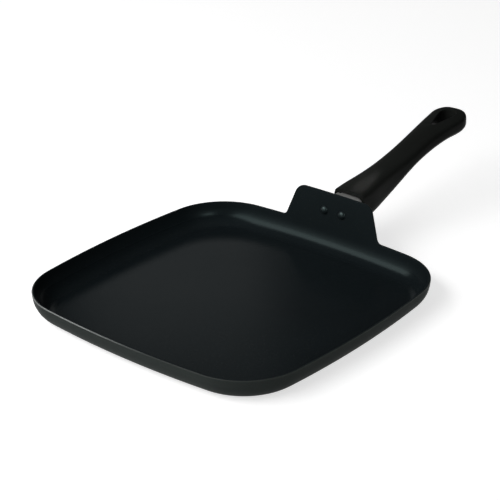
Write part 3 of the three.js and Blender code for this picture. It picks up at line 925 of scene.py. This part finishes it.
def grip_section(grip, distance):
    """Cage of the grip's section at a distance from its front, above the rim."""
    shoulder, base, top, bottom = stations_at(min(1.0, distance / grip.length))
    past = max(0.0, (distance - grip.length + grip.end_round) / grip.end_round)
    taper = sqrt(max(0.0, 1 - past * past))
    edge = max(0.0, 1 - (grip.length - distance) / grip.end_edge)
    fall = grip.end_edge * (1 - sqrt(max(0.0, 1 - edge * edge)))
    upper = min(CORNER_PULL * grip.shoulder_radius, MOST_PULL * shoulder * taper)
    lower = min(CORNER_PULL * grip.base_radius, MOST_PULL * base * taper)
    return section(shoulder * taper, base * taper, top - fall, bottom + fall, grip.crown * taper,
                   grip.belly * taper, upper, lower)


class HangHole:
    """Outline of the hang hole's lip: a round end and a small point, joined by straight flanks."""

    def __init__(self, grip):
        self.radius = grip.hole_radius + grip.hole_edge
        self.tip = grip.hole_tip + grip.hole_edge
        self.centre = grip.length - grip.hole_margin
        self.point = self.centre - grip.hole_length
        self.start = self.point - self.tip
        self.stop = self.centre + self.radius
        self.flare = asin((self.radius - self.tip) / grip.hole_length)

    def spans(self, distance):
        """Whether a distance from the grip's front lies along the hole."""
        return self.start - TOUCH < distance < self.stop + TOUCH

    def half_width(self, distance):
        """Half width of the hole at a distance from the grip's front."""
        if distance > self.centre - self.radius * sin(self.flare):
            return sqrt(max(0.0, self.radius ** 2 - (distance - self.centre) ** 2))
        if distance < self.point - self.tip * sin(self.flare):
            return sqrt(max(0.0, self.tip ** 2 - (distance - self.point) ** 2))
        return (self.tip + (distance - self.point) * sin(self.flare)) / cos(self.flare)

    def beside(self, distance):
        """Half width and distance of the cage point beside the hole, for one of the grip's rings."""
        if abs(distance - self.start) < TOUCH:
            across, along = HOLE_TIP_PLACE
            return across * self.tip, self.point + along * self.tip
        if abs(distance - self.stop) < TOUCH:
            across, along = HOLE_END_PLACE
            return across * self.radius, self.centre + along * self.radius
        return self.half_width(distance), distance


class GripCage:
    """Cage of the grip, with each vertex marked with its ring's row and its column."""

    def __init__(self, settings):
        self.settings = settings
        self.grip, self.bracket = settings.grip, settings.bracket
        self.hole = HangHole(settings.grip)
        self.front = settings.pan.width / 2 + settings.grip.offset
        self.web = web_frame(settings)
        self.bm = bmesh.new()
        self.column = self.bm.verts.layers.int.new("column")
        self.row = self.bm.verts.layers.int.new("row")

    def step_and_side(self, vert):
        """Step of a vertex from the middle of the top to that of the underside, and its side."""
        column = vert[self.column]
        step = column if column <= HALF_RING else RING - column
        return step, -1 if column < HALF_RING else 1

    def placed(self, x, y, z, distance):
        """Place of a point above the rim, on a ring that is square to the bracket near the front."""
        share = distance / (SQUARE_FRONT * self.grip.length)
        square = tan(self.bracket.neck_pitch) * max(0.0, 1 - share)
        y += self.front - (z - self.bracket.neck_rise) * square
        return x, y, self.settings.pan.rim_height + z

    def next_ring(self, edges, row):
        """Extrudes a ring, marks the new one's row and gives its vertices and its edges."""
        made = bmesh.ops.extrude_edge_only(self.bm, edges=edges)["geom"]
        verts = verts_of(made)
        for vert in verts:
            vert[self.row] = row
        return verts, edges_of(made)

    def shape_ring(self, verts, distance):
        """Lays a ring on the grip's section at a distance from the front, clear of the hang hole."""
        points = grip_section(self.grip, min(distance, LAST_SECTION * MM))
        for vert in verts:
            step, side = self.step_and_side(vert)
            x, z = points[step]
            y = distance
            if step in (1, HALF_RING - 1) and self.hole.spans(distance):
                x, y = self.hole.beside(distance)
            vert.co = self.placed(side * x, y, z, distance)

    def draw_rings(self):
        """Draws the rings from front to end, closes the end and gives the edges of the open front."""
        rings = (*BODY_RINGS, self.hole.start / MM, *HOLE_RINGS, self.hole.stop / MM, *TAIL_RINGS)
        first = bmesh.ops.create_circle(self.bm, segments=RING, radius=1.0, cap_ends=False)
        for column, vert in enumerate(first["verts"]):
            vert[self.column] = column
        self.shape_ring(first["verts"], rings[0] * MM)
        mouth = edges = self.bm.edges[:]
        for row, place in enumerate(rings[1:], 1):
            verts, edges = self.next_ring(edges, row)
            self.shape_ring(verts, place * MM)
        middles = (0, HALF_RING)
        sides = [edge for edge in edges if all(vert[self.column] not in middles for vert in edge.verts)]
        bmesh.ops.grid_fill(self.bm, edges=sides)
        return mouth

    def cut_socket(self, mouth):
        """Turns the front edge in and cuts the socket for the bracket's tongue."""
        grip, bracket = self.grip, self.bracket
        outline = grip_section(grip, 0.0)
        verts, edges = self.next_ring(mouth, NO_ROW)
        for vert in verts:
            step, side = self.step_and_side(vert)
            x, z = outline[step]
            x -= grip.front_edge * x / outline[BASE_EDGE][0]
            z += grip.front_edge * ((step > FLANK) - (step < FLANK))
            vert.co = self.placed(side * x, 0.0, z, 0.0)
        wide = bracket.tongue_width / 2 + bracket.gap
        deep = -(bracket.tongue_depth + bracket.gap)
        corner = grip.socket_corner
        socket = section(wide, wide, bracket.gap, deep, 0.0, 0.0, corner, corner)
        for depth in (0.0, grip.socket_lip, bracket.tongue_length + bracket.gap):
            verts, edges = self.next_ring(edges, NO_ROW)
            for vert in verts:
                step, side = self.step_and_side(vert)
                x, z = socket[step]
                vert.co = self.web @ Vector((side * x, depth, z))
        bmesh.ops.edgeloop_fill(self.bm, edges=edges)

    def patch(self, rows, middle):
        """Faces in the given rows, one column to each side of a middle one."""
        columns = ((middle - 1) % RING, middle, middle + 1)
        found = []
        for face in self.bm.faces:
            if all(vert[self.row] in rows and vert[self.column] in columns for vert in face.verts):
                found.append(face)
        return found

    def sink_recess(self):
        """Sinks the round recess for the screw's head into the underside."""
        grip, screw = self.grip, self.settings.screw
        recess = self.patch(SCREW_ROWS, HALF_RING)
        bmesh.ops.inset_region(self.bm, faces=recess, thickness=grip.recess_border, use_even_offset=True)
        radius = (screw.head / 2 + grip.recess_play) / EIGHT_POINT_SHRINK
        to_web = self.web.inverted()
        for vert in {vert for face in recess for vert in face.verts}:
            local = to_web @ vert.co
            offset = Vector((local.x, local.y - screw.reach))
            if offset.length > screw.shank / 2:
                eighth = round(atan2(offset.y, offset.x) / (pi / 4)) * pi / 4
                offset = radius * Vector((cos(eighth), sin(eighth)))
            else:
                offset = Vector((0.0, 0.0))
            vert.co = self.web @ Vector((offset.x, screw.reach + offset.y, local.z))
        made = raised(self.bm, recess)
        inwards = self.web.to_3x3() @ Vector((0.0, 0.0, grip.recess_lip))
        bmesh.ops.translate(self.bm, vec=inwards, verts=verts_of(made))
        seat = washer_seat(self.settings)
        for level in (seat - grip.recess_corner, seat):
            made = raised(self.bm, faces_of(made))
            for vert in verts_of(made):
                local = to_web @ vert.co
                vert.co = self.web @ Vector((local.x, local.y, level))

    def open_hang_hole(self):
        """Opens the hang hole from the top to the underside, with a rounded lip on both."""
        margin = self.grip.hole_edge
        loops = []
        for middle, inwards in ((0, -margin), (HALF_RING, margin)):
            lid = self.patch(HOLE_ROWS, middle)
            bmesh.ops.inset_region(self.bm, faces=lid, thickness=margin, use_even_offset=True)
            lid_edges = [edge for face in lid for edge in face.edges]
            lip = [edge for edge in lid_edges if sum(face in lid for face in edge.link_faces) == 1]
            bmesh.ops.delete(self.bm, geom=lid, context="FACES")
            made = bmesh.ops.extrude_edge_only(self.bm, edges=lip)["geom"]
            bmesh.ops.translate(self.bm, vec=(0, 0, inwards), verts=verts_of(made))
            loops += edges_of(made)
        bmesh.ops.bridge_loops(self.bm, edges=loops)

    def finished(self):
        """Takes the marks off, closes the cage and gives it."""
        marks = self.bm.verts.layers.int
        for name in ("column", "row"):
            marks.remove(marks[name])
        closed_up(self.bm)
        return self.bm


def mould_grip(settings):
    """Grip's cage, with the socket, the screw's recess and the hang hole."""
    cage = GripCage(settings)
    cage.cut_socket(cage.draw_rings())
    cage.sink_recess()
    cage.open_hang_hole()
    return cage.finished()


def cut_cross(bm, screw, crest):
    """Cuts the crossed slots into the domed top of the screw's head."""
    upwards = 0.2

    def on_crown(face):
        return face.calc_center_median().z > crest - screw.crown and face.normal.z > upwards

    for axis in (Vector((1, 1, 0)).normalized(), Vector((1, -1, 0)).normalized()):
        for offset in (screw.cross_length / 2, screw.cross_width / 2):
            for way in (-1, 1):
                top = [face for face in bm.faces if on_crown(face)]
                edges = {edge for face in top for edge in face.edges}
                verts = {vert for face in top for vert in face.verts}
                bmesh.ops.bisect_plane(bm, geom=top + list(edges) + list(verts), dist=TOUCH,
                                       plane_co=axis * offset * way, plane_no=axis)
    slots = []
    for face in bm.faces:
        middle = face.calc_center_median()
        near, far = sorted((abs(middle.x + middle.y) / sqrt(2), abs(middle.x - middle.y) / sqrt(2)))
        if on_crown(face) and near < screw.cross_width / 2 and far < screw.cross_length / 2:
            slots.append(face)
    for vert in verts_of(raised(bm, slots)):
        vert.co.z = crest - screw.cross_depth
    closed_up(bm)


def turn_screw(settings):
    """Pan-head screw with a crossed recess, turned head up and then stood head down under the grip."""
    bracket, screw = settings.bracket, settings.screw
    seat = screw.washer - washer_seat(settings)
    crest = seat + screw.head_height
    bm = bmesh.new()
    tip = bm.verts.new((0.0, 0.0, crest))
    tip = domed_line(bm, tip, screw.crown, screw.head, outwards=True)
    tip = drawn_line(bm, tip, (screw.head / 2, 0.0, seat))
    tip = drawn_line(bm, tip, (screw.shank / 2, 0.0, seat))
    tip = drawn_line(bm, tip, (screw.shank / 2, 0.0, bracket.plate))
    drawn_line(bm, tip, (0.0, 0.0, bracket.plate))
    turned_part(bm)
    soften(bm, screw.edge)
    cut_cross(bm, screw, crest)
    flip = Matrix.Rotation(pi, 4, "X")
    bm.transform(web_frame(settings) @ Matrix.Translation((0, screw.reach, 0)) @ flip)
    return bm


def lay_floor(colours):
    """Large plain floor under the pan."""
    bm = bmesh.new()
    bmesh.ops.create_grid(bm, x_segments=1, y_segments=1, size=FLOOR_HALF_WIDTH)
    mesh = bpy.data.meshes.new("studio_floor")
    bm.to_mesh(mesh)
    bm.free()
    mesh.materials.append(floor_finish(colours))
    floor = bpy.data.objects.new("studio_floor", mesh)
    bpy.context.scene.collection.objects.link(floor)


def light_world(scene):
    """Dim soft surroundings, pale at the horizon."""
    world = bpy.data.worlds.new("studio")
    world.use_nodes = True
    scene.world = world
    sheet = NodeSheet(world.node_tree)
    direction = sheet.node("ShaderNodeTexCoord", output="Generated")
    height = sheet.node("ShaderNodeSeparateXYZ", None, {0: direction}, "Z")
    tone = sheet.node("ShaderNodeValToRGB", {"stops": SKY}, {0: height})
    glow = sheet.node("ShaderNodeBackground", None, {"Color": tone, "Strength": 1.0})
    sheet.node("ShaderNodeOutputWorld", None, {"Surface": glow})


def hang_lamp(name, watts, place, size, aim, beam):
    """Hangs a soft rectangular lamp with a wide or narrow beam."""
    lamp = bpy.data.lights.new(name, "AREA")
    lamp.shape = "RECTANGLE"
    lamp.size, lamp.size_y = size
    lamp.energy = watts
    lamp.spread = radians(beam)
    holder = bpy.data.objects.new(name, lamp)
    holder.location = place
    holder.rotation_euler = (Vector(aim) - Vector(place)).to_track_quat("-Z", "Y").to_euler()
    bpy.context.scene.collection.objects.link(holder)


def place_camera(scene, stage):
    """Camera at the photograph's viewing angle."""
    look = Matrix.Rotation(stage.azimuth, 4, "Z") @ Matrix.Rotation(pi / 2 - stage.elevation, 4, "X")
    back = look @ Matrix.Translation((0.0, 0.0, stage.distance)) @ Matrix.Rotation(stage.roll, 4, "Z")
    camera = bpy.data.cameras.new("camera")
    camera.lens = stage.lens
    camera.sensor_width = SENSOR_WIDTH
    camera.clip_start = NEAR_CLIP
    holder = bpy.data.objects.new("camera", camera)
    holder.matrix_world = Matrix.Translation(CAMERA_TARGET) @ back
    scene.collection.objects.link(holder)
    scene.camera = holder


class GRIDDLE_OT_pan(bpy.types.Operator):
    """Press the coated sheet pan with its lug"""

    bl_idname = "griddle.pan"
    bl_label = "Pan"

    def execute(self, context):
        settings = context.scene.griddle
        colours = settings.colours
        coats = [
            coat_finish("inside_coat", colours.inside, colours, roughness=0.22, ior=1.20, dulling=0.36),
            coat_finish("outside_coat", colours.outside, colours, roughness=0.50, ior=1.08),
            rim_finish(colours),
        ]
        even_shading(piece_from(press_pan(settings.pan), "sheet_pan", coats, "pan_body"))
        return {"FINISHED"}


class GRIDDLE_OT_rivets(bpy.types.Operator):
    """Set the two domed rivets through the lug"""

    bl_idname = "griddle.rivets"
    bl_label = "Rivets"

    def execute(self, context):
        settings = context.scene.griddle
        colours = settings.colours
        rivet = settings.rivet
        coat = coat_finish("rivet_coat", colours.inside, colours, roughness=0.34, ior=1.45)
        for side, node in ((-1, "rivet_left"), (1, "rivet_right")):
            bm = turn_rivet(rivet, settings.pan, settings.bracket, side * rivet.spacing / 2)
            even_shading(piece_from(bm, "domed_" + node, [coat], node))
        return {"FINISHED"}


class GRIDDLE_OT_bracket(bpy.types.Operator):
    """Bend the steel bracket that joins the lug and the grip"""

    bl_idname = "griddle.bracket"
    bl_label = "Bracket"

    def execute(self, context):
        settings = context.scene.griddle
        bracket = settings.bracket
        steel = metal_finish("bracket_steel", settings.colours.steel, roughness=0.55,
                             spin=-bracket.neck_pitch)
        bm = press_bracket(settings)
        piece = piece_from(bm, "steel_bracket", [steel], "handle_bracket")
        thick = piece.modifiers.new("Plate", "SOLIDIFY")
        thick.thickness = bracket.plate
        thick.offset = 0.0
        thick.use_even_offset = True
        edge = piece.modifiers.new("Edges", "BEVEL")
        edge.width = bracket.edge
        edge.segments = 2
        edge.limit_method = "ANGLE"
        edge.angle_limit = SHARP
        even_shading(piece)
        return {"FINISHED"}


class GRIDDLE_OT_grip(bpy.types.Operator):
    """Mould the black grip with its hang hole"""

    bl_idname = "griddle.grip"
    bl_label = "Grip"

    def execute(self, context):
        settings = context.scene.griddle
        phenolic = phenolic_finish(settings.colours)
        bm = mould_grip(settings)
        piece = piece_from(bm, "moulded_grip", [phenolic], "handle_grip")
        smooth = piece.modifiers.new("Smooth form", "SUBSURF")
        smooth.levels = 3
        smooth.render_levels = 3
        return {"FINISHED"}


class GRIDDLE_OT_fasteners(bpy.types.Operator):
    """Fit the screw and finish the washer and the nut"""

    bl_idname = "griddle.fasteners"
    bl_label = "Screw, washer and nut"

    def execute(self, context):
        settings = context.scene.griddle
        steel = metal_finish("fastener_steel", settings.colours.steel, roughness=0.36)
        bm = turn_screw(settings)
        even_shading(piece_from(bm, "cross_screw", [steel], "handle_screw"))
        for node in ("weld_nut", "lock_washer"):
            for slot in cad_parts[node].material_slots:
                slot.material = steel
        return {"FINISHED"}


class GRIDDLE_OT_stage(bpy.types.Operator):
    """Set up the floor, the lamps and the camera"""

    bl_idname = "griddle.stage"
    bl_label = "Stage"

    def execute(self, context):
        scene = context.scene
        settings = scene.griddle
        scene.view_settings.view_transform = "Standard"
        lay_floor(settings.colours)
        light_world(scene)
        for name, (place, size, aim, beam) in LAMPS.items():
            hang_lamp(name + "_lamp", getattr(settings.stage, name), place, size, aim, beam)
        place_camera(scene, settings.stage)
        return {"FINISHED"}


class GRIDDLE_PT_panel(bpy.types.Panel):
    """Lists the steps that build the griddle pan, and its settings"""

    bl_label = "Griddle Pan"
    bl_idname = "GRIDDLE_PT_panel"
    bl_space_type = "VIEW_3D"
    bl_region_type = "UI"
    bl_category = "Griddle"

    def draw(self, context):
        for step in STEPS:
            self.layout.operator(step.bl_idname)
        for group in GriddleSettings.__annotations__:
            settings = getattr(context.scene.griddle, group)
            box = self.layout.box()
            box.label(text=group.capitalize())
            for name in settings.__annotations__:
                box.prop(settings, name)


GROUPS = (
    PanSizes,
    RivetSizes,
    BracketSizes,
    GripSizes,
    ScrewSizes,
    FinishColours,
    StageSettings,
    GriddleSettings,
)
STEPS = (
    GRIDDLE_OT_pan,
    GRIDDLE_OT_rivets,
    GRIDDLE_OT_bracket,
    GRIDDLE_OT_grip,
    GRIDDLE_OT_fasteners,
    GRIDDLE_OT_stage,
)
CLASSES = GROUPS + STEPS + (GRIDDLE_PT_panel,)


def register():
    for item in CLASSES:
        bpy.utils.register_class(item)
    bpy.types.Scene.griddle = PointerProperty(type=GriddleSettings)


def unregister():
    del bpy.types.Scene.griddle
    for item in reversed(CLASSES):
        bpy.utils.unregister_class(item)


def main():
    register()
    bpy.ops.griddle.pan()
    bpy.ops.griddle.rivets()
    bpy.ops.griddle.bracket()
    bpy.ops.griddle.grip()
    bpy.ops.griddle.fasteners()
    bpy.ops.griddle.stage()


if __name__ == "__main__":
    main()
